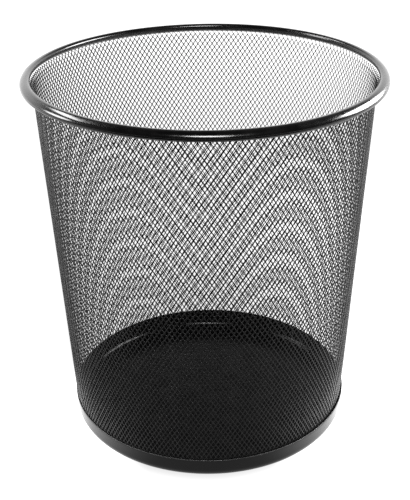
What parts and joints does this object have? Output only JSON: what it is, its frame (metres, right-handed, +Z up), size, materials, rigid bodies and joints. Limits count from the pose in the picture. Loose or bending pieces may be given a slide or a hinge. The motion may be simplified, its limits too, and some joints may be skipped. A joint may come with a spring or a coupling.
{
  "type": "wastebasket",
  "caption": "Round tapered wastebasket: black expanded-mesh wall, rolled steel rim and shallow pressed base pan, open at the top.",
  "frame": {"origin": "centre of the underside, on the surface that the basket stands on", "axes": "+Z up along the axis of the basket; the basket is round, so +X and +Y are free, and -Y is taken as the front"},
  "size_m": [0.295, 0.295, 0.3135],
  "materials": {
    "mesh_coat": "satin black powder coat",
    "rim_gloss": "gloss black powder coat",
    "pan_satin": "satin black powder coat"
  },
  "bodies": {
    "root": {"mesh_wall": "mesh_coat", "rim_band": "rim_gloss", "base_pan": "pan_satin", "tack_welds": "pan_satin"}
  },
  "joints": []
}
